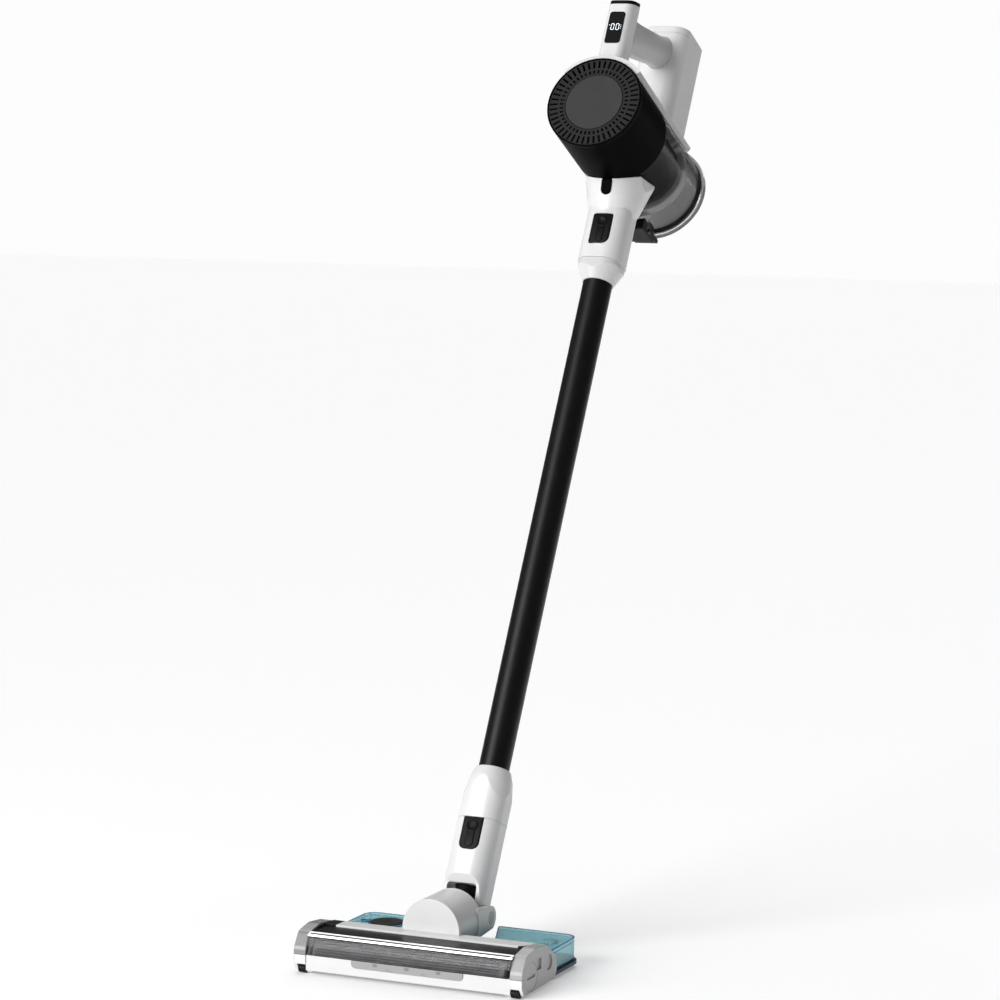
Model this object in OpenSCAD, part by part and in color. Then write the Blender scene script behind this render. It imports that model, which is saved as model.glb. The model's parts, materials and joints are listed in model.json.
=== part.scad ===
// Cordless stick vacuum with a mopping floor head.
// Row frame: origin on the floor at the centre of the mop pad, X across, +Y to the back, +Z up.
// Two helper frames are used: "head" starts at the front edge of the floor head, and "stick"
// starts at the pitch pivot with Z up the wand and Y away from its front.

/* [Stick] */
// Lean of the stick behind upright, in degrees
lean = 28.5; // [20:0.5:32]
// Outside radius of the wand tube
tube_r = 17.25; // [16:0.25:17.5]
// Wall of the wand tube
tube_wall = 1.2; // [0.8:0.1:2]
// Height along the stick where the wand tube first shows
wand_low = 166; // [164:1:170]
// Height along the stick where the main unit takes over from the wand
wand_high = 784; // [782:0.5:790]
// Width of the neck and of the collars
neck_w = 52; // [50:1:54]
// Depth of the neck and of the collars
neck_d = 48; // [46:1:50]

/* [Floor head] */
// Width over the end caps
head_w = 266; // [256:1:280]
// Distance of the front edge from the middle of the mop pad
front_y = -127; // [-130:1:-124]
// Radius of the soft roller
roller_r = 18.7; // [17:0.1:18.8]
// Radius of the swivel barrel
barrel_r = 33.4; // [32:0.1:34]

/* [Main unit] */
// Outside radius of the motor housing and the dust cup
drum_r = 57; // [55:0.5:58]
// Distance of the vented face in front of the wand axis
face_f = 116.4; // [110:0.1:120]
// Height of the drum axis above the pitch pivot
drum_s = 936; // [934:1:940]
// Slots in each ring of the front vents
vent_count = 48; // [36:2:54]
// Radius of the dust cup lid
lid_r = 61; // [60:0.5:62]

/* [Handle and battery] */
// Half the width of the battery housing
pack_hw = 29; // [27:0.5:30]
// Height of the top of the battery cap above the pitch pivot
pack_top = 1120; // [1112:1:1126]
// Half the width of the display column
column_hw = 16; // [15:0.5:17]

/* [Hidden] */
$fn = 96;

// Pitch pivot, in the head frame
pivot_y = 141;
pivot_z = 46.5;
// Swivel axis height
swivel_z = 47.5;
// Roller axis and brush motor axis, as [y, z] in the head frame
roller_at = [24, 19.5];
motor_at = [62, 24];
// Cheeks of the chassis stand this far from the middle
cheek_x = 119;
cheek_t = 2.5;
// Left edge of the rear panel and the radius that sweeps its right end back
panel_left = -105;
panel_sweep = 24;
// Gap between moving parts
gap = 0.3;
// Radial gap of a shaft that turns in a bore
run = 0.06;
// Half width of the neck's fork slot, and the pivot's radii
fork_hw = 17.5;
fork_r = 12.5;
lug_r = 13;
pin_r = 4;
// Front wheels, as [y, z] in the head frame
wheel_at = [6, 4.6];
wheel_r = 4.6;
// Spine of the main housing
spine_r = 63.5;
spine_half_angle = 48;
// Seam between the neck and the wand's lower collar
seam_s = 104.5;
// Drum stations along the axis, measured forward from the wand axis
housing_back_f = 25;
cup_back_f = -105;
// Battery housing, from front to back, and its corner
pack_front_f = -32;
pack_back_f = -104;
pack_corner = 17;
cap_t = 8;
// Display column, from front to back
column_front_f = 104;
column_back_f = 74;
column_top = 1077;
// The column's top rises to the rear, so that it is nearly level when the stick leans
crown_tilt = 18;
pack_mid_f = (pack_front_f + pack_back_f) / 2;
pack_depth = pack_front_f - pack_back_f;
// Lid hinge, forward of the wand axis and along the stick
hinge_f = -109.5;
hinge_s = drum_s + lid_r + 2.5;
// Lid latch pivot, as [behind the wand axis, along the stick]
latch_at = [78, 869];
// Charging inlet on the left side of the battery housing
inlet_f = -68;
inlet_s = 1014;
inlet_r = 2.75;
inlet_depth = 9;
// Water tank, in the head frame, with its filler cap and flow knob as [x, y]
tank_front = 88.6;
tank_back = 166.5;
tank_hw = 126;
tank_top = 32;
filler_at = [-83.6, 125.3];
flow_at = [111.5, 122];
// Flare of the socket where it cradles the drum, as [radius, height, corner radius] points
flare = [
    [0, 800, 0], [26.5, 800, 0], [27, 846, 20], [32.5, 862, 20], [37.8, 882, 20], [42.6, 898, 8], [43.5, 905, 0],
    [0, 905, 0]
];
// Plan of the flare's wings, which narrow towards the front
wings = [[-28.8, -60], [28.8, -60], [46.2, 60], [-46.2, 60]];
// Tilt of the cup button, which follows the flare
cup_button_tilt = 16;
// Pleats of the exhaust filter
pleats = 40;

// ---- helpers ----

function unit(v) = v / norm(v);
function turn(a0, a1) = ((a1 - a0 + 540) % 360) - 180;
function corner_arc(a, b, c, r, n) =
    let (u = unit(a - b), v = unit(c - b), half = acos(u * v) / 2,
         m = b + unit(u + v) * r / sin(half),
         p = b + u * r / tan(half), q = b + v * r / tan(half),
         a0 = atan2(p.y - m.y, p.x - m.x), sweep = turn(a0, atan2(q.y - m.y, q.x - m.x)))
    [for (i = [0:n]) m + r * [cos(a0 + sweep * i / n), sin(a0 + sweep * i / n)]];
function xy(p) = [p[0], p[1]];
// Outline through [x, y, corner radius] points
function rounded(pts, n = 6) =
    let (k = len(pts))
    [for (i = [0:k - 1]) each (pts[i][2] > 0
        ? corner_arc(xy(pts[(i + k - 1) % k]), xy(pts[i]), xy(pts[(i + 1) % k]), pts[i][2], n)
        : [xy(pts[i])])];

module head() {
    translate([0, front_y, 0]) children();
}
module stick() {
    translate([0, front_y + pivot_y, pivot_z]) rotate([-lean, 0, 0]) children();
}
// Places children on the drum axis: local Z runs forward from the wand axis, local Y runs up the wand
module drum() {
    stick() translate([0, 0, drum_s]) rotate([90, 0, 0]) children();
}
module extrude_x(x0, x1) {
    translate([x0, 0, 0]) rotate([90, 0, 90]) linear_extrude(x1 - x0) children();
}
module rod_x(x0, x1, r) {
    translate([x0, 0, 0]) rotate([0, 90, 0]) cylinder(r = r, h = x1 - x0);
}
module rod_y(y0, y1, r) {
    translate([0, y0, 0]) rotate([-90, 0, 0]) cylinder(r = r, h = y1 - y0);
}
module span(x, y, z) {
    translate([x[0], y[0], z[0]]) cube([x[1] - x[0], y[1] - y[0], z[1] - z[0]]);
}
module ring(r_in, r_out, h) {
    difference() {
        cylinder(r = r_out, h = h);
        translate([0, 0, -1]) cylinder(r = r_in, h = h + 2);
    }
}
module round_rect(w, d, r) {
    for (x = [-1, 1], y = [-1, 1]) translate([x * (w / 2 - r), y * (d / 2 - r)]) circle(r);
    square([w - 2 * r, d], center = true);
    square([w, d - 2 * r], center = true);
}
module round_bar(w, d, r, z0, z1) {
    translate([0, 0, z0]) linear_extrude(z1 - z0) round_rect(w, d, r);
}
module at_drum_clear(r, z0, z1) {
    drum() translate([0, 0, z0]) cylinder(r = r, h = z1 - z0);
}

// ---- floor head ----

module end_outline() {
    polygon(rounded([
        [6, 2.7, 2], [0, 12, 8], [0, 27, 10], [11, 43.5, 9], [35, 47.9, 30], [66, 44.6, 16],
        [89, 27, 12], [92, 14, 8], [86, 4, 5]
    ]));
}
module end_core() {
    polygon(rounded([
        [8, 5.5, 2], [3, 13, 5], [3, 26, 8], [13, 40.6, 7], [35, 45, 28], [64, 41.8, 14],
        [86, 25.5, 9], [88.6, 14, 6], [84, 6.5, 3]
    ]));
}
module cheek_outline() {
    polygon(rounded([
        [6, 3, 2], [4.2, 21, 3], [14, 38.6, 6], [40, 40.2, 0], [62, 40.2, 6], [81, 24.5, 5], [83.5, 3, 2]
    ]));
}
module wheel_pocket(x0, x1) {
    translate([0, wheel_at[0], wheel_at[1]]) rod_x(x0, x1, wheel_r + 0.8);
    span([x0, x1], [-2, wheel_at[0]], [-1, wheel_at[1] + wheel_r + 0.8]);
}
module roller_axis() {
    translate([0, roller_at[0], roller_at[1]]) children();
}
module motor_axis() {
    translate([0, motor_at[0], motor_at[1]]) children();
}
module swivel_axis() {
    translate([0, 0, swivel_z]) children();
}

module chassis() {
    color("whitesmoke") head() difference() {
        union() {
            extrude_x(-cheek_x, cheek_x)
                polygon(rounded([[1.2, 3.5, 1], [1.2, 20.6, 0], [3.6, 20.6, 0], [3.6, 3.5, 1]]));
            for (x = [-cheek_x, cheek_x - cheek_t]) extrude_x(x, x + cheek_t) cheek_outline();
            span([-cheek_x, cheek_x], [44, 83.5], [3, 5.5]);
            span([-cheek_x, cheek_x], [44, 46], [5, 40.2]);
            span([-cheek_x, cheek_x], [81.5, 83.5], [5, 22]);
            span([-18, 18], [45, 63.5], [5, 40.2]);
            for (s = [-1, 1]) translate([0, wheel_at[0], wheel_at[1]])
                rod_x(s > 0 ? cheek_x - 7 : -cheek_x, s > 0 ? cheek_x : 7 - cheek_x, 3.4);
        }
        // air path from the roller chamber to the swivel
        span([-16, 16], [40, 64], [14, 38]);
        // swivel barrel and its lugs sweep this space
        swivel_axis() rod_y(63.5, 100, barrel_r + 4);
        swivel_axis() rod_y(59.7, 100, barrel_r + gap);
        // axle bores of the front wheels
        translate([0, wheel_at[0], wheel_at[1]]) rod_x(-cheek_x - 1, cheek_x + 1, 1.5 + run);
        // seat of the left bearing, the motor shaft, and the way out of the roller on the right
        roller_axis() rod_x(-cheek_x - 1, -cheek_x + cheek_t + 1, 8);
        motor_axis() rod_x(-cheek_x - 1, -cheek_x + cheek_t + 1, 4);
        roller_axis() rod_x(cheek_x - cheek_t - 1, cheek_x + 1, roller_r + 0.6);
    }
}

// Section of the panels that cover the rear of the head
module rear_section() {
    polygon(rounded([
        [44.2, 41, 0], [44.2, 45.2, 1], [70, 44.6, 14], [88, 28, 3], [88, 12, 1],
        [85.6, 12, 0], [85.6, 27.2, 2], [68.8, 42.2, 12], [48, 42.8, 0], [48, 41, 0]
    ]));
}
// Plan of the white rear panel: square on the left, swept back on the right
module panel_plan(seam) {
    linear_extrude(80) polygon(rounded([
        [panel_left - seam, 40, 0], [cheek_x + seam, 40, panel_sweep], [cheek_x + seam, 95, 0],
        [panel_left - seam, 95, 0]
    ]));
}
module top_cover() {
    color("dimgray") head() union() {
        extrude_x(-cheek_x, cheek_x)
            polygon([[13.2, 42.4], [16.5, 43.2], [44, 43.2], [44, 40.6], [16.5, 40.6], [13.2, 40.2]]);
        difference() {
            extrude_x(-cheek_x, cheek_x) rear_section();
            panel_plan(gap);
        }
    }
}

module rear_panel() {
    color("white") head() difference() {
        intersection() {
            extrude_x(-cheek_x, cheek_x) rear_section();
            panel_plan(0);
        }
        swivel_axis() rod_y(59.7, 100, barrel_r + gap);
        swivel_axis() rod_y(66.2, 100, barrel_r + 4);
    }
}

module trim_strip() {
    color("gainsboro") head() extrude_x(-cheek_x, cheek_x) polygon(rounded([
        [5.6, 40.2, 0], [6.4, 42.6, 1.5], [10, 43.6, 0], [10.2, 43, 0], [10.8, 43.1, 0], [10.9, 43.8, 0],
        [12.8, 44.4, 1], [13, 40.2, 0]
    ], 4));
}

module roller_window() {
    color("silver", 0.6) head() difference() {
        extrude_x(-cheek_x, cheek_x) polygon(rounded([
            [1.6, 20.8, 0], [0.6, 24, 2], [1, 31, 14], [5.4, 40, 0], [8, 40, 0], [3.3, 31, 12],
            [2.9, 24.3, 1], [3.9, 20.8, 0]
        ]));
        // moulded grooves
        for (x = [-67.5, -49.5, -11, 11, 49.5, 67.5]) span([x - 0.4, x + 0.4], [-1, 1], [21, 31]);
    }
}

module left_end_cap() {
    color("darkgray") head() difference() {
        extrude_x(-head_w / 2, -cheek_x - 0.1) end_outline();
        extrude_x(-head_w / 2 + 2.5, -cheek_x) end_core();
        wheel_pocket(-130, -cheek_x + 0.5);
    }
}

module lip_insert() {
    color("silver") head() difference() {
        translate([0, 1.2, 0]) rotate([90, 0, 0]) linear_extrude(1)
            polygon(rounded([[-65, 20.6, 0], [-65, 12.5, 5], [65, 12.5, 5], [65, 20.6, 0]]));
        for (x = [-37, 0, 37]) span([x - 2.6, x + 2.6], [-1, 3], [16.6, 19.6]);
        for (x = [-20.5, 20.5]) span([x - 3, x + 3], [-1, 0.7], [14, 15.2]);
    }
}

module led_strip() {
    color("white") head() for (x = [-37, 0, 37]) span([x - 2.6, x + 2.6], [0.1, 1.2], [16.6, 19.6]);
}

// Motor can with the bearing boss of the shaft
module brush_motor() {
    color("slategray") head() motor_axis() difference() {
        union() {
            rod_x(-106, -52, 13);
            rod_x(-110, -106, 7);
        }
        rod_x(-103, -54, 11.5);
        rod_x(-111, -100, 2 + run);
    }
}

module belt_area(r1, r2) {
    hull() {
        translate(roller_at) circle(r1);
        translate(motor_at) circle(r2);
    }
}
module drive_belt() {
    color("black") head() extrude_x(-126, -122.5) difference() {
        belt_area(10.5, 6.5);
        belt_area(9 + gap, 5 + gap);
    }
}

// Fixed drum that closes the front of the swivel and carries the barrel on its spigot
module swivel_base() {
    color("white") head() swivel_axis() difference() {
        union() {
            rod_y(60, 66, barrel_r);
            rod_y(66, 84, 24);
        }
        rod_y(62.4, 85, 21);
        // below the deck the drum is open to the air path
        span([-16, 16], [59, 64], [14 - swivel_z, 38 - swivel_z]);
    }
}

module right_end_cap() {
    color("lightgray") head() difference() {
        union() {
            difference() {
                extrude_x(cheek_x + 0.2, head_w / 2) end_outline();
                extrude_x(cheek_x, head_w / 2 - 6) end_core();
            }
            roller_axis() rod_x(cheek_x + 0.2, head_w / 2 - 5, 11);
        }
        // bearing seat, knob recess and knob spindle
        roller_axis() rod_x(cheek_x, 124, 8);
        roller_axis() rod_x(cheek_x, head_w / 2 - 3, 4.6);
        roller_axis() rod_x(head_w / 2 - 3.2, head_w / 2 + 1, 15.3);
        // finger recess and screw boss
        span([head_w / 2 - 2, head_w / 2 + 1], [38, 50], [23, 35]);
        translate([0, 70, 25]) rod_x(head_w / 2 - 1.5, head_w / 2 + 1, 8.5);
        wheel_pocket(cheek_x - 0.5, 129.2);
    }
}
module cap_knob() {
    color("gainsboro") head() roller_axis() difference() {
        union() {
            rod_x(head_w / 2 - 3, head_w / 2 - 0.2, 15);
            rod_x(125.5, head_w / 2 - 3, 4.5);
        }
        // coin slot
        span([head_w / 2 - 1.6, head_w / 2 + 1], [-10, 10], [-1.5, 1.5]);
    }
}

module brush_core() {
    color("dimgray") head() roller_axis() union() {
        rod_x(-114, 112, 9.5);
        rod_x(-127, -114, 3);
        rod_x(112, 123, 3);
    }
}
module brush_sleeve() {
    color("lightsteelblue") head() roller_axis() difference() {
        rod_x(-113, 110, roller_r);
        rod_x(-114, 111, 9.5);
    }
}
module brush_pulley() {
    color("black") head() roller_axis() difference() {
        union() {
            rod_x(-126.6, -121.8, 9);
            rod_x(-121.8, -121.2, 11);
        }
        rod_x(-128, -120, 3);
    }
}
// Bearings pressed on the stubs of the roller; they turn in the left cheek and the right end cap
module brush_bearings() {
    color("silver") head() roller_axis() for (x = [-cheek_x, cheek_x + 1.2]) difference() {
        rod_x(x, x + cheek_t, 8 - run);
        rod_x(x - 1, x + cheek_t + 1, 3);
    }
}
// Pulley, shaft and rotor of the brush motor
module motor_pulley() {
    color("silver") head() motor_axis() union() {
        rod_x(-126.6, -121.8, 5);
        rod_x(-121.8, -101, 2);
        rod_x(-101, -56, 9.5);
    }
}

module front_wheel(side) {
    head() translate([0, wheel_at[0], wheel_at[1]]) union() {
        rod_x(side > 0 ? cheek_x + 0.6 : -128.4, side > 0 ? 128.4 : -cheek_x - 0.6, wheel_r);
        rod_x(side > 0 ? cheek_x - 6 : -cheek_x - 0.6, side > 0 ? cheek_x + 0.6 : 6 - cheek_x, 1.5);
    }
}
module front_wheel_left() {
    color("black") front_wheel(-1);
}
module front_wheel_right() {
    color("black") front_wheel(1);
}

// ---- water tank and mop ----

// One side of the tank seen from above; it steps back behind the end cap
function lobe(side, inset) = rounded([
    [side * (51 + inset), tank_front + inset, 0], [side * (51 + inset), 114, 8],
    [side * (31 + inset), tank_back - inset, 3], [side * (tank_hw - inset), tank_back - inset, 14 - inset],
    [side * (tank_hw - inset), 93 + inset, 4], [side * (118.4 - inset), 93 + inset, 0],
    [side * (118.4 - inset), tank_front + inset, 1]
]);
module water_tank() {
    color("cadetblue", 0.6) head() difference() {
        union() {
            for (s = [-1, 1]) translate([0, 0, 8]) linear_extrude(tank_top - 8) polygon(lobe(s, 0));
            span([-60, 60], [tank_front, 160], [8, 9.6]);
        }
        for (s = [-1, 1]) translate([0, 0, 10]) linear_extrude(tank_top - 12) polygon(lobe(s, 2));
        translate([filler_at[0], filler_at[1], 20]) cylinder(r = 14, h = 20);
        translate([flow_at[0], flow_at[1], 20]) cylinder(r = 5, h = 20);
        span([120, 127], [92, 98], [12, 24]);
    }
}
module tank_plate() {
    color("darkslategray") head() translate([0, 0, 4]) linear_extrude(4) polygon(rounded([
        [-129.5, 93, 4], [-118.4, 93, 0], [-118.4, tank_front, 1], [118.4, tank_front, 1], [118.4, 93, 0],
        [129.5, 93, 4], [129.5, tank_back, 16], [-129.5, tank_back, 16]
    ]));
}
module mop_pad() {
    color("lightgray") head() linear_extrude(4) polygon(rounded([
        [-123, 91, 8], [123, 91, 8], [123, 163, 14], [-123, 163, 14]
    ]));
}
module drain_plug() {
    color("black") head() translate([0, 0, 12]) linear_extrude(12)
        polygon(rounded([[120, 93, 0], [127.4, 93, 3], [127.4, 98, 0], [120, 98, 0]]));
}
module filler_cap() {
    color("saddlebrown") head() translate([filler_at[0], filler_at[1], 0]) union() {
        translate([0, 0, tank_top + 0.1]) cylinder(r = 18, h = 2.4);
        translate([0, 0, 26]) cylinder(r = 13.7, h = 7);
    }
}
module flow_knob() {
    color("teal") head() translate([flow_at[0], flow_at[1], 0]) union() {
        translate([0, 0, tank_top + 0.2]) cylinder(r = 9, h = 3.6);
        translate([0, 0, 27]) cylinder(r = 4.7, h = 6);
    }
}

// ---- swivel and neck ----

module lug_area() {
    translate([pivot_y, pivot_z]) circle(lug_r);
    polygon([[108, pivot_z - 17], [108, pivot_z + 17], [pivot_y, pivot_z + lug_r], [pivot_y, pivot_z - lug_r]]);
}
module swivel_barrel() {
    color("white") head() difference() {
        union() {
            swivel_axis() rod_y(66.4, 118, barrel_r);
            intersection() {
                for (s = [-1, 1]) extrude_x(s > 0 ? 27 : -34, s > 0 ? 34 : -27) lug_area();
                swivel_axis() rod_y(100, 160, barrel_r + 3);
            }
        }
        swivel_axis() rod_y(60, 90, 24 + gap);
        swivel_axis() rod_y(88, 130, 29);
        translate([0, pivot_y, pivot_z]) rod_x(-40, 40, pin_r);
        for (x = [-40, 32.4]) translate([0, pivot_y, pivot_z]) rod_x(x, x + 7.6, 7.5);
    }
}
module pivot_pins() {
    color("gainsboro") stick() for (s = [-1, 1]) {
        rod_x(s > 0 ? fork_hw + 1 : -32.4, s > 0 ? 32.4 : -fork_hw - 1, pin_r);
        rod_x(s > 0 ? 32.4 : -33.8, s > 0 ? 33.8 : -32.4, 7.5);
    }
}

module fork_area() {
    circle(fork_r);
    polygon([[-fork_r, 0], [fork_r, 0], [19, 31], [24, 40], [24, 110], [-24, 110], [-24, 40], [-19, 31]]);
}
module neck_shell() {
    color("white") stick() difference() {
        intersection() {
            round_bar(neck_w, neck_d, 19, -20, seam_s);
            extrude_x(-40, 40) fork_area();
        }
        // fork slot with a rounded arch
        span([-fork_hw, fork_hw], [-40, 40], [-20, 26]);
        translate([0, 0, 26]) rotate([-90, 0, 0]) translate([0, 0, -40])
            linear_extrude(80) polygon(rounded([[-fork_hw, 1, 0], [-fork_hw, -5, 4], [fork_hw, -5, 4], [fork_hw, 1, 0]]));
        // hose space and spigot socket
        translate([0, 0, 20]) cylinder(r = 15.6, h = 90);
        translate([0, 0, 58]) cylinder(r = 17 + gap, h = 60);
        rod_x(-40, 40, pin_r + run);
        // button pocket
        translate([0, -18.8, 67.6]) latch_plate(11.9, 45, 11, [7.6, 7.6, 2]);
    }
}
module hose() {
    color("black") stick() difference() {
        union() {
            sphere(r = 14.5);
            cylinder(r = 14.5, h = 56);
        }
        translate([0, 0, -20]) cylinder(r = 12, h = 90);
    }
}
// Upright plate; corners are the radii at its lower left, lower right and top
module latch_plate(w, h, depth, corners) {
    rotate([90, 0, 0]) linear_extrude(depth)
        polygon(rounded([[-w, 0, corners[0]], [w, 0, corners[1]], [w, h, corners[2]], [-w, h, corners[2]]]));
}
module neck_button() {
    color("black") stick() union() {
        translate([0, -21.2, 68]) latch_plate(11.5, 36, 3.4, [7.2, 7.2, 1.4]);
        translate([0, -24.4, 94]) rotate([90, 0, 0]) cylinder(r = 5.6, h = 0.8);
    }
}

// ---- wand ----

module collar_profile(points) {
    rotate_extrude() polygon(points);
}
module wand_lower_collar() {
    color("white") stick() difference() {
        union() {
            intersection() {
                round_bar(neck_w, neck_d, 19, seam_s + 0.2, wand_low);
                collar_profile(rounded([
                    [0, 90, 0], [40, 90, 0], [27.6, 132, 10], [24, 154, 8], [tube_r + 2.4, wand_low, 2.5],
                    [0, wand_low, 0]
                ]));
            }
            translate([0, 0, 60]) cylinder(r = 17, h = 50);
        }
        translate([0, 0, 50]) cylinder(r = 14, h = 80);
        translate([0, 0, 118]) cylinder(r = tube_r, h = 80);
    }
}
module wand_tube() {
    color("black") stick() translate([0, 0, 118]) ring(tube_r - tube_wall, tube_r, wand_high - 118 - 6);
}
module wand_upper_collar() {
    color("whitesmoke") stick() difference() {
        union() {
            intersection() {
                round_bar(neck_w, neck_d, 19, wand_high - 24, wand_high);
                collar_profile(rounded([
                    [0, wand_high - 24, 0], [tube_r + 1.4, wand_high - 24, 1], [27.4, wand_high - 5.5, 4],
                    [30, wand_high + 4, 4], [30, wand_high + 10, 0], [0, wand_high + 10, 0]
                ]));
            }
            translate([0, 0, wand_high - 5]) cylinder(r = 17, h = 51);
        }
        translate([0, 0, wand_high - 60]) cylinder(r = tube_r, h = 54);
        translate([0, 0, wand_high - 20]) cylinder(r = 14, h = 80);
    }
}

// ---- main unit ----

module cup_button_place() {
    stick() translate([0, -33.8, 869.6]) rotate([cup_button_tilt, 0, 0]) rotate([90, 0, 0]) children();
}
module pill(hw, hh, depth) {
    linear_extrude(depth) {
        for (y = [-1, 1]) translate([0, y * (hh - hw)]) circle(hw);
        square([2 * hw, 2 * (hh - hw)], center = true);
    }
}
module unit_socket() {
    color("white") difference() {
        stick() union() {
            round_bar(neck_w + 2, neck_d + 2, 20, wand_high + 0.3, 850);
            intersection() {
                collar_profile(rounded(flare));
                translate([0, 0, 780]) linear_extrude(140) polygon(wings);
            }
        }
        at_drum_clear(drum_r + gap, -80, 80);
        stick() translate([0, 0, wand_high - 1]) cylinder(r = 17 + gap, h = 51);
        stick() translate([0, 0, wand_high]) cylinder(r = 15, h = 120);
        stick() translate([0, -19.6, 800.6]) latch_plate(12.4, 38.8, 10, [3.4, 9.4, 2.4]);
        cup_button_place() translate([0, 2.4, -3.6]) pill(6.5, 11.8, 10);
    }
}
module unit_button() {
    color("black") stick() union() {
        translate([0, -22.4, 801]) latch_plate(12, 38, 3.3, [3, 9, 2]);
        translate([0, -25.5, 832]) rotate([90, 0, 0]) cylinder(r = 5.6, h = 0.7);
    }
}
module cup_button() {
    color("black") cup_button_place() translate([0, 0, -1.2]) linear_extrude(3)
        polygon(rounded([[-6.1, -9.1, 6], [6.1, -9.1, 6], [6.1, 8.2, 1.2], [-6.1, 8.2, 1.2]]));
}

module drum_sector(r_in, r_out, half, f0, f1) {
    drum() translate([0, 0, f0]) rotate([0, 0, 90 - half]) rotate_extrude(angle = 2 * half)
        translate([r_in, 0]) square([r_out - r_in, f1 - f0]);
}
module main_housing() {
    color("white") difference() {
        drum_sector(drum_r + gap, spine_r, spine_half_angle, -100, 112);
        // its sides end before the battery housing does
        for (x = [-79, 29]) drum() translate([x, 0, -110]) cube([50, 100, 34]);
    }
}
module motor_housing() {
    color("black") drum() difference() {
        translate([0, 0, housing_back_f]) cylinder(r = drum_r, h = face_f - housing_back_f);
        translate([0, 0, housing_back_f + 3]) cylinder(r = drum_r - 2.5, h = 100);
        translate([0, 0, face_f - 9]) cylinder(r = drum_r - 1.6, h = 20);
        translate([0, 0, housing_back_f - 1]) cylinder(r = 30, h = 10);
    }
}
module fan_motor() {
    color("slategray") drum() difference() {
        union() {
            translate([0, 0, 44]) cylinder(r = 36, h = 42);
            translate([0, 0, 60]) cylinder(r = drum_r - 2.5, h = 4);
        }
        translate([0, 0, 40]) cylinder(r = 2.5 + run, h = 30);
        for (i = [0:5]) rotate([0, 0, 60 * i]) translate([45.5, 0, 50]) cylinder(r = 5, h = 20);
    }
}
module impeller() {
    color("lightgray") drum() union() {
        translate([0, 0, 40]) cylinder(r = 33, h = 1.6);
        translate([0, 0, 31]) cylinder(r = 9, h = 9.5);
        translate([0, 0, 41]) cylinder(r = 2.5, h = 26);
        for (i = [0:8]) rotate([0, 0, 40 * i]) translate([8, -0.8, 32]) cube([24, 1.6, 8.5]);
    }
}
module hepa_filter() {
    color("beige") drum() translate([0, 0, 90]) linear_extrude(14) difference() {
        polygon([for (i = [0:2 * pleats - 1]) (i % 2 == 0 ? 52 : 44) * [cos(180 * i / pleats), sin(180 * i / pleats)]]);
        circle(24);
    }
}
module filter_cover() {
    color("dimgray") drum() difference() {
        translate([0, 0, face_f - 8]) cylinder(r = drum_r - 1.6 - gap, h = 7.4);
        translate([0, 0, face_f - 9]) cylinder(r = drum_r - 5, h = 5);
        translate([0, 0, face_f - 1.8]) cylinder(r = 34.6, h = 3);
        for (i = [0:vent_count - 1]) rotate([0, 0, 360 * (i + 0.5) / vent_count]) {
            translate([44.5, -1.3, face_f - 10]) cube([9.5, 2.6, 20]);
            translate([37.6, -1.1, face_f - 10]) cube([4.4, 2.2, 20]);
        }
    }
}
module cover_disc() {
    color("dimgray") drum() translate([0, 0, face_f - 1.8]) cylinder(r = 34.4, h = 1.6);
}

// ---- handle and battery ----

module column_area(inset) {
    translate([0, -(column_front_f + column_back_f) / 2])
        round_rect(2 * (column_hw - inset), column_front_f - column_back_f - 2 * inset, 10 - inset);
}
module crown() {
    stick() translate([0, -(column_front_f + column_back_f) / 2, column_top]) rotate([crown_tilt, 0, 0]) children();
}
module column_solid() {
    difference() {
        stick() translate([0, 0, 985]) linear_extrude(column_top - 965) column_area(0);
        crown() translate([-40, -40, 0]) cube([80, 80, 60]);
    }
}
module display_column() {
    color("white") difference() {
        column_solid();
        stick() translate([0, 0, 1004]) linear_extrude(100) column_area(2.5);
        at_drum_clear(spine_r, 60, 120);
        stick() translate([0, -column_front_f + 1.6, 1019.9]) latch_plate(9.6, 41.7, 3, [3.6, 3.6, 3.6]);
    }
}
module display_lens() {
    color("black") stick() translate([0, -column_front_f + 1.6, 1020])
        latch_plate(9.5, 41.5, 1.7, [3.5, 3.5, 3.5]);
}
module top_cap() {
    color("black") difference() {
        intersection() {
            stick() translate([0, 0, column_top - 20]) linear_extrude(60) column_area(0.4);
            crown() translate([-40, -40, 0]) cube([80, 80, 4.5]);
        }
        for (x = [-6.8, 6.8]) crown() translate([x, -1, -1]) cylinder(r = 5 + gap, h = 10);
    }
}
module top_button(x) {
    crown() translate([x, -1, -1.6]) cylinder(r = 5, h = 7.6);
}
module power_button() {
    color("dimgray") top_button(6.8);
}
module mode_button() {
    color("dimgray") top_button(-6.8);
}
module oval_slab(f, s, hw, hh) {
    translate([0, -f, s]) rotate([90, 0, 0]) scale([1, hh / hw, 1]) cylinder(r = hw, h = 0.5, $fn = 40);
}
module grip() {
    color("gainsboro") difference() {
        stick() hull() {
            oval_slab(column_back_f + 8, 1043.5, 15, 25);
            oval_slab(pack_front_f - 6, 1085, 15, 21);
        }
        stick() hull() {
            oval_slab(column_back_f + 9, 1043.5, 11, 20);
            oval_slab(pack_front_f - 7, 1085, 11, 17);
        }
        column_solid();
        pack_bar(0, 975, pack_top);
    }
}
module pack_bar(inset, s0, s1) {
    stick() translate([0, -pack_mid_f, 0])
        round_bar(2 * (pack_hw - inset), pack_depth - 2 * inset, pack_corner - inset, s0, s1);
}
module battery_release_place() {
    stick() translate([0, -pack_back_f, 1085]) rotate([-90, 0, 0]) children();
}
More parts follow.
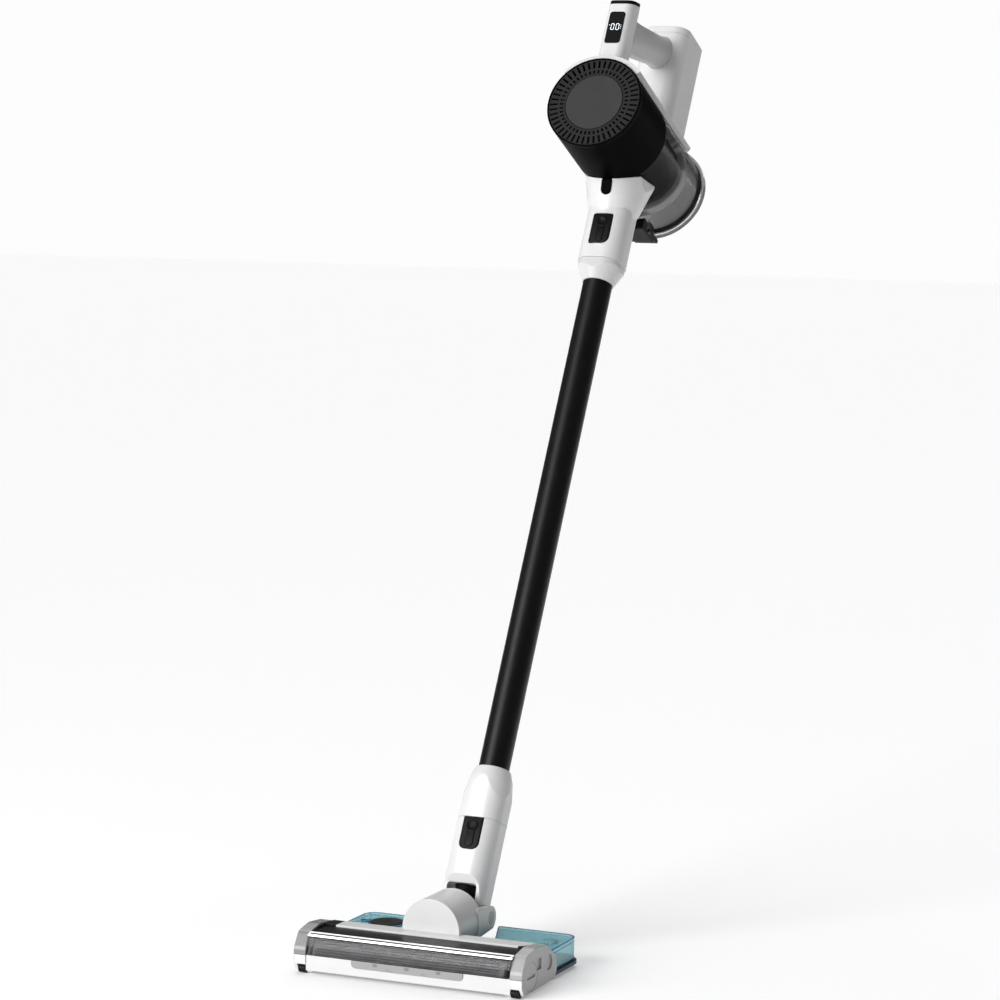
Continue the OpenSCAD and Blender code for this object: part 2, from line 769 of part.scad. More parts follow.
module battery_housing() {
    color("white") difference() {
        union() {
            difference() {
                pack_bar(0, 975, pack_top - cap_t - 0.2);
                pack_bar(3, 1005, pack_top);
            }
            stick() translate([0, -inlet_f, inlet_s]) rod_x(-pack_hw + 1, -pack_hw + inlet_depth + 2, 6);
        }
        at_drum_clear(spine_r, -100, 112);
        at_drum_clear(spine_r + 1, -120, -99);
        stick() translate([0, -inlet_f, inlet_s]) rod_x(-pack_hw - 1, -pack_hw + inlet_depth, inlet_r);
        battery_release_place() translate([0, 0, -5]) pill(7 + gap, 9 + gap, 10);
    }
}
module battery_pack() {
    color("white") difference() {
        union() {
            pack_bar(0, pack_top - cap_t, pack_top);
            pack_bar(3.4, 1026, pack_top - cap_t);
        }
        pack_bar(5, 1028, pack_top - cap_t - 2);
    }
}
module battery_cells() {
    color("seagreen") stick() for (x = [-9.6, 9.6], f = [-19.5, 0, 19.5])
        translate([x, -pack_mid_f + f, 1032]) cylinder(r = 9.2, h = 65);
}
module battery_release() {
    color("lightgray") battery_release_place() translate([0, 0, -2.2]) pill(7, 9, 3);
}

// ---- dust cup ----

module lid_ear_area() {
    translate([-hinge_f, hinge_s]) circle(3);
    polygon([[102, 989], [102, 994], [107.2, 1001.4], [112.2, 998.3], [105, 994.2], [105, 989]]);
}
module dust_cup() {
    color("silver", 0.5) difference() {
        union() {
            drum() difference() {
                union() {
                    translate([0, 0, cup_back_f]) cylinder(r = drum_r, h = housing_back_f - cup_back_f - 0.4);
                    translate([0, 0, cup_back_f]) cylinder(r = drum_r + 1.5, h = 3);
                }
                translate([0, 0, cup_back_f - 1]) cylinder(r = drum_r - 2.5, h = housing_back_f - cup_back_f - 1.9);
                cylinder(r = 30, h = 60);
            }
            // hinge ears on top and latch ears below
            stick() for (x = [-13.5, 9.5]) extrude_x(x, x + 4) lid_ear_area();
            difference() {
                stick() for (x = [-16.5, 14.4]) extrude_x(x, x + 2.1) polygon(rounded([
                    [73, 865, 2], [83, 865, 2], [86, 884, 0], [70, 884, 0]
                ]));
                at_drum_clear(drum_r - 1, -120, 20);
            }
        }
        // inlet from the wand
        stick() translate([0, 0, 800]) cylinder(r = 15, h = 100);
        stick() translate([0, -hinge_f, hinge_s]) rod_x(-20, 20, 1.5);
        stick() translate([0, latch_at[0], latch_at[1]]) rod_x(-20, 20, 1.5 + run);
    }
}
module cyclone_mesh() {
    color("dimgray") drum() difference() {
        union() {
            translate([0, 0, -57]) cylinder(r = 45, h = 78.8);
            translate([0, 0, -70]) cylinder(r = 52, h = 14);
        }
        translate([0, 0, -55]) cylinder(r = 43.4, h = 90);
        translate([0, 0, -71]) cylinder(r = 49, h = 12);
    }
}
module cup_lid() {
    color("silver", 0.5) difference() {
        union() {
            drum() translate([0, 0, -113]) cylinder(r = lid_r, h = 3);
            drum() translate([0, 0, -110.5]) ring(lid_r - 3, lid_r, 5);
            stick() translate([0, -hinge_f, hinge_s]) rod_x(-9.2, 9.2, 3);
            stick() span([-9.2, 9.2], [110, 113], [985, hinge_s]);
        }
        stick() for (x = [-13.8, 9.2]) span([x, x + 4.6], [100, 120], [983, 1010]);
        stick() translate([0, -hinge_f, hinge_s]) rod_x(-20, 20, 1.5 + run);
    }
}
module lid_seal() {
    color("dimgray") drum() translate([0, 0, -110]) ring(51, 57.4, 4.6);
}
module lid_pin() {
    color("silver") stick() translate([0, -hinge_f, hinge_s]) rod_x(-13.4, 13.4, 1.5);
}
module lid_latch() {
    color("black") difference() {
        stick() union() {
            extrude_x(-14, 14) polygon(rounded([
                [60, 863, 2], [97, 863, 3], [101, 868, 1], [112, 869, 1], [112, 873.4, 1], [99, 873.4, 1],
                [94, 881, 2], [60, 881, 0]
            ]));
            translate([0, latch_at[0], latch_at[1]]) rod_x(-16.4, 16.4, 1.5);
        }
        at_drum_clear(drum_r + 0.5, -120, -78);
        at_drum_clear(drum_r + 3.6, -78.1, -50);
    }
}

chassis();
top_cover();
rear_panel();
trim_strip();
roller_window();
left_end_cap();
lip_insert();
led_strip();
brush_motor();
drive_belt();
swivel_base();
right_end_cap();
cap_knob();
brush_core();
brush_sleeve();
brush_pulley();
brush_bearings();
motor_pulley();
front_wheel_left();
front_wheel_right();
water_tank();
tank_plate();
mop_pad();
drain_plug();
filler_cap();
flow_knob();
swivel_barrel();
pivot_pins();
neck_shell();
hose();
neck_button();
wand_lower_collar();
wand_tube();
wand_upper_collar();
unit_socket();
main_housing();
motor_housing();
fan_motor();
hepa_filter();
impeller();
filter_cover();
cover_disc();
unit_button();
cup_button();
display_column();
display_lens();
top_cap();
power_button();
mode_button();
grip();
battery_housing();
battery_pack();
battery_cells();
battery_release();
dust_cup();
cyclone_mesh();
cup_lid();
lid_seal();
lid_pin();
lid_latch();
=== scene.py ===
"""Looks of the cordless stick vacuum: its materials, and detailed meshes for what CAD keeps plain."""

import json
import math

import bmesh
import bpy
from mathutils import Matrix, Vector, noise


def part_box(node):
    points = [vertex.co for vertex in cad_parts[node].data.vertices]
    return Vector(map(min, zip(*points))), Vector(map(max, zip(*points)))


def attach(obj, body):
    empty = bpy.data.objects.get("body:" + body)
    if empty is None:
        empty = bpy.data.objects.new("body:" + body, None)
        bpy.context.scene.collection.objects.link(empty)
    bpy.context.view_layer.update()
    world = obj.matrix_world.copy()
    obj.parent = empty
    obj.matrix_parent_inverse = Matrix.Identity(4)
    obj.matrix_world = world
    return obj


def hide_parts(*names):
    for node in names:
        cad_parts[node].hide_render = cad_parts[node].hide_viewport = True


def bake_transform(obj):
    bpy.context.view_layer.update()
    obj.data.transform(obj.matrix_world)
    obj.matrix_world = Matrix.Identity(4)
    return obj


MM = 0.001

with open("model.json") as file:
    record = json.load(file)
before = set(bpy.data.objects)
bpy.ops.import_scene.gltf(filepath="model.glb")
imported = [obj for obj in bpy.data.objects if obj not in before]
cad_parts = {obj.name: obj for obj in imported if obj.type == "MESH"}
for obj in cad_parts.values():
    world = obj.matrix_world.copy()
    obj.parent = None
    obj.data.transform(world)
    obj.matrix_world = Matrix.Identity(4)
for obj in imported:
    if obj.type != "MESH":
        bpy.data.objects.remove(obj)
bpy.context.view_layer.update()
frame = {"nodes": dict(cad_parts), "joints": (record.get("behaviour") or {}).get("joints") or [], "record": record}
nodes = frame["nodes"]
joints = {j["name"]: j for j in frame["joints"]}

# ---- frames of the object, in metres ----

PIVOT = Vector(joints["pitch"]["pos_m"])
UP = Vector(joints["wand_off"]["axis"])
BACK = Vector(joints["cup_off"]["axis"])
ACROSS = Vector((1, 0, 0))
# How far up the wand from the pitch pivot the drum's axis crosses it
DRUM_S = 0.936
HEAD_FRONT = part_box("right_end_cap")[0].y


def frame_matrix(x_axis, y_axis, z_axis, origin):
    """Matrix from a local frame in millimetres to the row frame in metres."""
    m = Matrix((x_axis, y_axis, z_axis)).transposed().to_4x4()
    m.translation = origin
    return m @ Matrix.Scale(MM, 4)


# Z up the wand and Y behind it, from the pitch pivot
STICK = frame_matrix(ACROSS, BACK, UP, PIVOT)
# Z forward along the drum's axis and Y up the wand
DRUM = frame_matrix(ACROSS, UP, -BACK, PIVOT + UP * DRUM_S)
# Y from the front edge of the floor head, Z up from the floor
HEAD = frame_matrix(ACROSS, Vector((0, 1, 0)), Vector((0, 0, 1)), Vector((0, HEAD_FRONT, 0)))


# ---- camera, light and floor ----


# Degrees round the object, above the level and of roll, then the lens in millimetres and the place in metres
CAMERA_ANGLES = (24.115, 6.612, 0.47)
CAMERA_LENS = 124.84
CAMERA_PLACE = (1.54109, -3.33846, 0.9281)


def make_camera():
    """Long lens from the front right, a little above the middle of the object."""
    azimuth, elevation, roll = (math.radians(a) for a in CAMERA_ANGLES)
    right = Vector((math.cos(azimuth), math.sin(azimuth), 0))
    behind = Vector((math.sin(azimuth) * math.cos(elevation), -math.cos(azimuth) * math.cos(elevation),
                     math.sin(elevation)))
    up = behind.cross(right)
    across = right * math.cos(roll) + up * math.sin(roll)
    above = up * math.cos(roll) - right * math.sin(roll)
    data = bpy.data.cameras.new("camera")
    data.lens = CAMERA_LENS
    data.sensor_width = 36
    data.clip_end = 60
    camera = bpy.data.objects.new("camera", data)
    camera.matrix_world = Matrix((across, above, behind)).transposed().to_4x4()
    camera.location = CAMERA_PLACE
    bpy.context.scene.collection.objects.link(camera)
    bpy.context.scene.camera = camera


def sun_light(name, towards, energy, angle):
    """Soft distant light that comes from a direction; angle is its spread in degrees."""
    data = bpy.data.lights.new(name, "SUN")
    data.energy = energy
    data.angle = math.radians(angle)
    light = bpy.data.objects.new(name, data)
    light.rotation_mode = "QUATERNION"
    light.rotation_quaternion = Vector(towards).to_track_quat("Z", "Y")
    bpy.context.scene.collection.objects.link(light)


def area_light(name, place, target, width, height, power):
    data = bpy.data.lights.new(name, "AREA")
    data.shape = "RECTANGLE"
    data.size = width
    data.size_y = height
    data.energy = power
    light = bpy.data.objects.new(name, data)
    light.location = place
    light.rotation_mode = "QUATERNION"
    light.rotation_quaternion = (Vector(place) - Vector(target)).to_track_quat("Z", "Y")
    bpy.context.scene.collection.objects.link(light)


def make_studio():
    scene = bpy.context.scene
    scene.view_settings.view_transform = "Standard"
    world = bpy.data.worlds.new("studio")
    scene.world = world
    world.use_nodes = True
    tree = world.node_tree
    tree.nodes.clear()
    path = tree.nodes.new("ShaderNodeLightPath")
    seen = tree.nodes.new("ShaderNodeBackground")
    seen.inputs["Color"].default_value = (0.98, 0.98, 0.98, 1)
    fill = tree.nodes.new("ShaderNodeBackground")
    fill.inputs["Color"].default_value = (0.10, 0.10, 0.101, 1)
    mix = tree.nodes.new("ShaderNodeMixShader")
    out = tree.nodes.new("ShaderNodeOutputWorld")
    tree.links.new(path.outputs["Is Camera Ray"], mix.inputs["Fac"])
    tree.links.new(fill.outputs[0], mix.inputs[1])
    tree.links.new(seen.outputs[0], mix.inputs[2])
    tree.links.new(mix.outputs[0], out.inputs["Surface"])

    sun_light("key", (-0.42, -0.82, 0.40), 2.6, 40)
    sun_light("top_back", (-0.10, 0.50, 0.85), 1.5, 60)
    area_light("strip_left", (-1.5, -1.5, 1.1), (0, 0.3, 0.6), 0.3, 2.2, 8)

    floor_mesh = bpy.data.meshes.new("floor")
    half = 14
    floor_mesh.from_pydata([(-half, -half, 0), (half, -half, 0), (half, half, 0), (-half, half, 0)], [],
                           [(0, 1, 2, 3)])
    floor = bpy.data.objects.new("floor", floor_mesh)
    floor.location.z = -0.0004
    scene.collection.objects.link(floor)
    paint = bpy.data.materials.new("floor_paint")
    paint.use_nodes = True
    shader = paint.node_tree.nodes["Principled BSDF"]
    shader.inputs["Base Color"].default_value = (0.86, 0.86, 0.865, 1)
    shader.inputs["Roughness"].default_value = 0.9
    shader.inputs["Specular IOR Level"].default_value = 0.0
    shader.inputs["Emission Color"].default_value = (1, 1, 1, 1)
    shader.inputs["Emission Strength"].default_value = 0.23
    floor_mesh.materials.append(paint)


# ---- materials ----


def grey(value):
    return (value, value, value)


class Nodes:
    """A material's node tree, with short calls to add and join nodes."""

    def __init__(self, name):
        self.material = bpy.data.materials.new(name)
        self.material.use_nodes = True
        self.tree = self.material.node_tree
        self.shader = self.tree.nodes["Principled BSDF"]
        self.place = self.add("ShaderNodeTexCoord").outputs["Object"]

    def add(self, kind, inputs=None, **settings):
        node = self.tree.nodes.new(kind)
        for key, value in settings.items():
            setattr(node, key, value)
        for key, value in (inputs or {}).items():
            self.set(node.inputs[key], value)
        return node

    def set(self, socket, value):
        if isinstance(value, bpy.types.NodeSocket):
            self.tree.links.new(value, socket)
        else:
            socket.default_value = value

    def noise(self, scale, detail=2.0, stretch=None):
        place = self.place
        if stretch:
            place = self.add("ShaderNodeMapping", {"Vector": place, "Scale": stretch}).outputs[0]
        return self.add("ShaderNodeTexNoise",
                        {"Vector": place, "Scale": scale, "Detail": detail}).outputs["Fac"]

    def ramp(self, factor, low, high):
        """A number that runs from low to high as factor runs from 0.3 to 0.7."""
        return self.add("ShaderNodeMapRange", {
            "Value": factor, "From Min": 0.3, "From Max": 0.7, "To Min": low, "To Max": high}).outputs[0]

    def mix(self, factor, a, b):
        node = self.add("ShaderNodeMix", data_type="RGBA")
        self.set(node.inputs[0], factor)
        for socket, value in ((node.inputs[6], a), (node.inputs[7], b)):
            self.set(socket, (*value, 1) if isinstance(value, tuple) and len(value) == 3 else value)
        return node.outputs[2]

    def maths(self, operation, a, b=0.0):
        node = self.add("ShaderNodeMath", operation=operation)
        self.set(node.inputs[0], a)
        self.set(node.inputs[1], b)
        return node.outputs[0]

    def finish(self, **values):
        for key, value in values.items():
            self.set(self.shader.inputs[key.replace("_", " ")], value)
        return self.material


def moulded(name, colour, rough, grain=0.25, edge=0.7, worn=1.06, coat=0.0, mottle=0.03, split=None,
            **values):
    """Injection-moulded plastic: faint mottle, fine grain, rounded edges a little polished by wear."""
    n = Nodes(name)
    soft = n.add("ShaderNodeBevel", {"Radius": edge * MM}, samples=4)
    shade = tuple(c * (1 - mottle) for c in colour)
    tint = n.mix(n.ramp(n.noise(35), 0, 1), shade, colour)
    if split:
        tint = split(n, tint)
    sharp = n.add("ShaderNodeNewGeometry").outputs["Normal"]
    facing = n.add("ShaderNodeVectorMath", {0: soft.outputs[0], 1: sharp},
                   operation="DOT_PRODUCT").outputs["Value"]
    wear = n.maths("MULTIPLY", n.maths("SUBTRACT", 1.0, facing), 1.6)
    tint = n.mix(n.maths("MINIMUM", wear, 1.0), tint, tuple(min(c * worn + 0.01, 1) for c in colour))
    bump = n.add("ShaderNodeBump", {
        "Strength": grain, "Distance": 0.00004, "Height": n.noise(2600, 3), "Normal": soft.outputs[0]})
    if coat:
        values["Coat_Weight"] = coat
        values["Coat_Roughness"] = 0.08
    return n.finish(Base_Color=tint, Roughness=n.ramp(n.noise(90), rough, rough + 0.07),
                    Normal=bump.outputs[0], **values)


def clear_plastic(name, colour, rough, density=0.0, streaks=0.0, edge=None, through=1.0, ior=1.46, alpha=1.0):
    """Clear moulded plastic with faint flow lines; darker where the wall is seen edge on."""
    n = Nodes(name)
    soft = n.add("ShaderNodeBevel", {"Radius": 0.8 * MM}, samples=4)
    lines = n.noise(420, 3, (0.02, 1, 1))
    bump = n.add("ShaderNodeBump", {
        "Strength": 0.12, "Distance": 0.00003, "Height": lines, "Normal": soft.outputs[0]})
    rim = n.add("ShaderNodeLayerWeight", {"Blend": 0.35}).outputs["Facing"]
    tint = n.mix(n.maths("MULTIPLY", rim, density), colour, tuple(c * 0.45 for c in colour))
    if edge:
        sharp = n.add("ShaderNodeNewGeometry").outputs["Normal"]
        facing = n.add("ShaderNodeVectorMath", {0: soft.outputs[0], 1: sharp},
                       operation="DOT_PRODUCT").outputs["Value"]
        corner = n.maths("MULTIPLY", n.maths("SUBTRACT", 1.0, facing), 9.0)
        tint = n.mix(n.maths("MINIMUM", corner, 1.0), tint, edge)
    if streaks:
        tint = n.mix(n.maths("MULTIPLY", n.ramp(lines, 0, 1), streaks), tint, tuple(c * 0.5 for c in colour))
    return n.finish(Base_Color=tint, Roughness=n.ramp(n.noise(60), rough, rough + 0.05),
                    Normal=bump.outputs[0], Transmission_Weight=through, IOR=ior, Alpha=alpha)


def metal(name, colour, rough, stretch):
    """Metal with fine drawing or turning lines."""
    n = Nodes(name)
    soft = n.add("ShaderNodeBevel", {"Radius": 0.35 * MM}, samples=4)
    lines = n.noise(1500, 2, stretch)
    bump = n.add("ShaderNodeBump", {
        "Strength": 0.15, "Distance": 0.00003, "Height": lines, "Normal": soft.outputs[0]})
    tint = n.mix(n.ramp(lines, 0, 1), tuple(c * 0.93 for c in colour), colour)
    return n.finish(Base_Color=tint, Roughness=n.ramp(n.noise(70), rough, rough + 0.08),
                    Normal=bump.outputs[0], Metallic=1.0)


def cloth(name, colour, dark, scale, depth):
    """Microfibre or pile: dense short loops, with sheen; painted shade darkens the gaps between the loops."""
    n = Nodes(name)
    loops = n.add("ShaderNodeTexVoronoi", {"Vector": n.place, "Scale": scale}).outputs["Distance"]
    clumps = n.noise(scale * 0.12, 4)
    # painted shade: the colour runs to dark in the gaps between the loops, and the clumps vary it at random
    tint = n.mix(n.maths("MULTIPLY", n.ramp(clumps, 0.4, 1), n.maths("SUBTRACT", 1.0, loops)), dark, colour)
    bump = n.add("ShaderNodeBump", {"Strength": 0.8, "Distance": depth, "Height": loops}, invert=True)
    return n.finish(Base_Color=tint, Roughness=0.95, Normal=bump.outputs[0], Sheen_Weight=0.5,
                    Sheen_Roughness=0.4)


def rubber(name, value, rough=0.62):
    n = Nodes(name)
    dust = n.ramp(n.noise(140, 5), 0, 1)
    tint = n.mix(dust, grey(value), grey(value * 1.7 + 0.004))
    bump = n.add("ShaderNodeBump", {"Strength": 0.35, "Distance": 0.00006, "Height": n.noise(1800, 3)})
    return n.finish(Base_Color=tint, Roughness=n.ramp(n.noise(60), rough, rough + 0.12),
                    Normal=bump.outputs[0], Specular_IOR_Level=0.15)


def glowing(name, colour, strength):
    n = Nodes(name)
    return n.finish(Base_Color=(*colour, 1),
                    Emission_Color=n.mix(n.ramp(n.noise(500), 0, 1), colour, (1.0, 1.0, 1.0)),
                    Emission_Strength=strength, Roughness=0.4)


def above(n, axis, limit, soft=0.0002):
    """1 where the row-frame coordinate is above a limit, 0 below it, in metres."""
    value = n.add("ShaderNodeSeparateXYZ", {"Vector": n.place}).outputs[axis]
    return n.add("ShaderNodeMapRange", {
        "Value": value, "From Min": limit - soft, "From Max": limit + soft}).outputs[0]


LIP_TOP = 20.8 * MM


def white_lip(n, tint):
    """The white lower lip runs on round both ends of the head, under a fine seam."""
    front = n.maths("SUBTRACT", 1.0, above(n, "Y", HEAD_FRONT + 6.5 * MM))
    low = n.maths("SUBTRACT", 1.0, above(n, "Z", LIP_TOP))
    side = n.add("ShaderNodeSeparateXYZ", {"Vector": n.place}).outputs["X"]
    inner = n.maths("SUBTRACT", 1.0, n.maths("GREATER_THAN", n.maths("ABSOLUTE", side), 132.6 * MM))
    seam = n.maths("MULTIPLY", front, n.maths("MULTIPLY", above(n, "Z", LIP_TOP - 0.5 * MM),
                                              n.maths("SUBTRACT", 1.0, above(n, "Z", LIP_TOP + 0.2 * MM))))
    tint = n.mix(n.maths("MULTIPLY", inner, n.maths("MULTIPLY", front, low)), tint, grey(0.8))
    return n.mix(seam, tint, grey(0.12))


def disc_halves(n, tint):
    """One side of a diagonal across the badge disc is a shade darker than the other."""
    centre = PIVOT + UP * DRUM_S
    diagonal = (ACROSS * 0.80 - UP * 0.60).normalized()
    along = n.add("ShaderNodeVectorMath", {0: n.place, 1: tuple(diagonal)},
                  operation="DOT_PRODUCT").outputs["Value"]
    edge = centre.dot(diagonal) - 2 * MM
    return n.mix(n.add("ShaderNodeMapRange", {
        "Value": along, "From Min": edge, "From Max": edge + 0.4 * MM}).outputs[0], tint, grey(0.037))


def make_materials():
    """Every material by name; the names match the record's slots where a whole node wears one."""
    m = {}
    m["white_shell"] = moulded("white_shell", grey(0.75), 0.3, grain=0.12, edge=1.1, worn=1.0, coat=0.1)
    m["collar_white"] = moulded("collar_white", grey(0.66), 0.26, grain=0.12, edge=0.9, worn=1.0, coat=0.2)
    m["pale_grey_plastic"] = moulded("pale_grey_plastic", grey(0.46), 0.38, grain=0.3, worn=1.0)
    m["insert_grey"] = moulded("insert_grey", grey(0.36), 0.3, grain=0.2, worn=1.0)
    m["end_cap_grey"] = moulded("end_cap_grey", grey(0.40), 0.3, grain=0.2, edge=1.2, worn=1.0, coat=0.2,
                                split=white_lip)
    m["left_end_grey"] = moulded("left_end_grey", grey(0.26), 0.2, grain=0.15, edge=1.2, worn=1.0, coat=0.3,
                                 split=white_lip)
    m["dark_grey_plastic"] = moulded("dark_grey_plastic", grey(0.008), 0.3, grain=0.2, edge=0.5, worn=1.4,
                                     Specular_IOR_Level=0.08)
    m["vent_grey"] = moulded("vent_grey", grey(0.024), 0.42, grain=0.35, edge=0.5, worn=1.5,
                             Specular_IOR_Level=0.08)
    m["disc_grey"] = moulded("disc_grey", grey(0.038), 0.3, grain=0.1, edge=0.4, worn=1.3, split=disc_halves,
                             Specular_IOR_Level=0.25)
    m["black_plastic"] = moulded("black_plastic", grey(0.005), 0.34, grain=0.2, edge=0.7, worn=1.5,
                                 Specular_IOR_Level=0.09)
    m["black_satin"] = moulded("black_satin", grey(0.0015), 0.42, grain=0.25, edge=1.2, worn=1.4,
                               Specular_IOR_Level=0.012)
    m["black_tube"] = moulded("black_tube", grey(0.0035), 0.35, grain=0.5, edge=0.4, worn=1.6,
                              Specular_IOR_Level=0.28)
    m["chrome_trim"] = metal("chrome_trim", (0.66, 0.66, 0.67), 0.3, (0.02, 1, 1))
    m["steel"] = metal("steel", (0.6, 0.6, 0.62), 0.28, (0.05, 1, 1))
    m["motor_steel"] = metal("motor_steel", (0.4, 0.41, 0.43), 0.35, (0.1, 1, 1))
    m["smoked_clear"] = clear_plastic("smoked_clear", (0.97, 0.972, 0.975), 0.0, density=0.12, ior=1.085,
                                      alpha=0.8)
    m["window_smoke"] = clear_plastic("window_smoke", (0.78, 0.78, 0.79), 0.1, density=0.4, streaks=0.5,
                                      ior=1.3,
                                     alpha=0.6)
    m["tank_teal"] = clear_plastic("tank_teal", (0.48, 0.90, 0.96), 0.05, density=0.2, edge=(0.0, 0.14, 0.42),
                                   through=0.72, ior=1.35, alpha=0.8)
    m["tank_base"] = moulded("tank_base", (0.003, 0.03, 0.045), 0.25, grain=0.2, worn=1.2,
                             Specular_IOR_Level=0.2)
    m["tank_line"] = moulded("tank_line", (0.004, 0.13, 0.36), 0.12, grain=0.1, worn=1.2, coat=0.5)
    m["mop_fabric"] = cloth("mop_fabric", (0.66, 0.67, 0.68), (0.42, 0.43, 0.44), 900, 0.0005)
    m["soft_nap"] = cloth("soft_nap", (0.42, 0.42, 0.43), (0.20, 0.20, 0.205), 1400, 0.0004)
    m["brown_rubber"] = rubber("brown_rubber", 0.012)
    m["black_rubber"] = rubber("black_rubber", 0.003, 0.42)
    m["inner_grey_plastic"] = moulded("inner_grey_plastic", grey(0.005), 0.4, worn=1.3,
                                      Specular_IOR_Level=0.1)
    m["skirt_grey"] = moulded("skirt_grey", grey(0.26), 0.35)
    m["boss_grey"] = moulded("boss_grey", grey(0.22), 0.35)
    # dark for the seams, and for the painted shadow line along the top of the window
    m["seam_and_shadow_dark"] = moulded("seam_and_shadow_dark", grey(0.02), 0.4, worn=1.3, Specular_IOR_Level=0.1)
    m["flow_line"] = moulded("flow_line", grey(0.10), 0.35, worn=1.3, Specular_IOR_Level=0.2)
    # pale grey for the lid liner, partly painted light: lighter than its own colour, standing in for the light the
    # cup's walls keep out
    m["frosted_grey_painted_light"] = moulded("frosted_grey_painted_light", grey(0.80), 0.35, grain=0.3, worn=1.0)
    m["seal_dark"] = rubber("seal_dark", 0.03)
    m["filter_paper"] = cloth("filter_paper", (0.05, 0.05, 0.05), (0.02, 0.02, 0.02), 2400, 0.00008)
    m["display_black"] = moulded("display_black", grey(0.012), 0.1, grain=0.05, edge=0.4, worn=1.2, coat=0.1,
                                 Specular_IOR_Level=0.2)
    m["digit_light"] = glowing("digit_light", (0.85, 0.92, 1.0), 0.9)
    m["button_grey"] = moulded("button_grey", grey(0.03), 0.4)
    m["led_white"] = moulded("led_white", grey(0.25), 0.2, coat=0.4)
    m["cell_wrap"] = moulded("cell_wrap", (0.03, 0.28, 0.14), 0.3)
    m["filler_blue"] = moulded("filler_blue", (0.006, 0.09, 0.22), 0.15, coat=0.4)
    m["screw_steel"] = metal("screw_steel", (0.45, 0.45, 0.46), 0.3, (1, 1, 0.05))
    return m


make_camera()
make_studio()
MATERIALS = make_materials()

# What differs from the record's material slot, node by node
NODE_LOOKS = {
    "right_end_cap": "end_cap_grey",
    "left_end_cap": "left_end_grey",
    "filter_cover": "vent_grey",
    "cover_disc": "disc_grey",
    "motor_housing": "black_satin",
    "wand_upper_collar": "collar_white",
    "roller_window": "window_smoke",
    "lid_seal": "seal_dark",
    "lip_insert": "insert_grey",
    "cup_button": "black_satin",
}
for part in frame["record"]["subparts"]:
    look = NODE_LOOKS.get(part["node"], part["material_slot"])
    mesh = nodes[part["node"]].data
    mesh.materials.clear()
    mesh.materials.append(MATERIALS[look])


# ---- building meshes ----


def piece(name, bm, matrix, material, body, smooth=True):
    """A finished mesh in a local millimetre frame becomes a piece that rides on a body."""
    bmesh.ops.recalc_face_normals(bm, faces=bm.faces)
    mesh = bpy.data.meshes.new(name)
    bm.to_mesh(mesh)
    bm.free()
    mesh.transform(matrix)
    for polygon in mesh.polygons:
        polygon.use_smooth = smooth
    mesh.materials.append(MATERIALS[material])
    obj = bpy.data.objects.new(name, mesh)
    bpy.context.scene.collection.objects.link(obj)
    if body:
        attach(obj, body)
    return obj


def sharpen(obj, angle=32):
    """Splits the shading at edges sharper than an angle."""
    mesh = obj.data
    bm = bmesh.new()
    bm.from_mesh(mesh)
    for edge in bm.edges:
        if len(edge.link_faces) == 2 and edge.calc_face_angle(0) > math.radians(angle):
            edge.smooth = False
    bm.to_mesh(mesh)
    bm.free()
    return obj


def skin(bm, rings, closed_ends=True, loop=False):
    """Joins rings of points, each with the same count, into a tube."""
    rows = [[bm.verts.new(p) for p in ring] for ring in rings]
    count = len(rows[0])
    pairs = list(zip(rows, rows[1:] + ([rows[0]] if loop else [])))
    if not loop:
        pairs = list(zip(rows, rows[1:]))
    for a, b in pairs:
        for i in range(count):
            j = (i + 1) % count
            bm.faces.new((a[i], a[j], b[j], b[i]))
    if closed_ends and not loop:
        bm.faces.new(list(reversed(rows[0])))
        bm.faces.new(rows[-1])
    return rows


def circle(radius, z, count=96, centre=(0, 0)):
    return [(centre[0] + radius * math.cos(2 * math.pi * i / count),
             centre[1] + radius * math.sin(2 * math.pi * i / count), z) for i in range(count)]


def lathe(bm, profile, count=96, closed=True):
    """Turns a closed outline of (radius, z) points about Z."""
    rings = [circle(max(r, 0.01), z, count) for r, z in profile]
    return skin(bm, rings, closed_ends=not closed, loop=closed)


def arc_points(cx, cy, radius, start, end, steps):
    """Points of an arc between two angles in degrees."""
    angles = [math.radians(start + (end - start) * i / steps) for i in range(steps + 1)]
    return [(cx + radius * math.cos(a), cy + radius * math.sin(a)) for a in angles]


def rounded_outline(half_w, low, high, r_low, r_high=None, steps=6):
    """Points of a rectangle from low to high with rounded corners."""
    r_high = r_low if r_high is None else r_high
    return (arc_points(half_w - r_low, low + r_low, r_low, -90, 0, steps)
            + arc_points(half_w - r_high, high - r_high, r_high, 0, 90, steps)
            + arc_points(-half_w + r_high, high - r_high, r_high, 90, 180, steps)
            + arc_points(-half_w + r_low, low + r_low, r_low, 180, 270, steps))


def slab(bm, outline, z0, z1, edge=0.0, to_point=lambda x, y, z: (x, y, z)):
    """An extruded outline whose top rim is rounded by edge."""
    levels = [(z0, 0.0)]
    steps = 4
    if edge:
        levels += [(z1 - edge + edge * math.sin(math.pi / 2 * k / steps),
                    edge * (1 - math.cos(math.pi / 2 * k / steps))) for k in range(steps + 1)]
    else:
        levels.append((z1, 0.0))
    cx = sum(p[0] for p in outline) / len(outline)
    cy = sum(p[1] for p in outline) / len(outline)
    span_x = max(abs(p[0] - cx) for p in outline)
    span_y = max(abs(p[1] - cy) for p in outline)
    rings = []
    for z, inset in levels:
        rings.append([to_point(cx + (x - cx) * (1 - inset / span_x), cy + (y - cy) * (1 - inset / span_y), z)
                      for x, y in outline])
    return skin(bm, rings)


# ---- roller ----


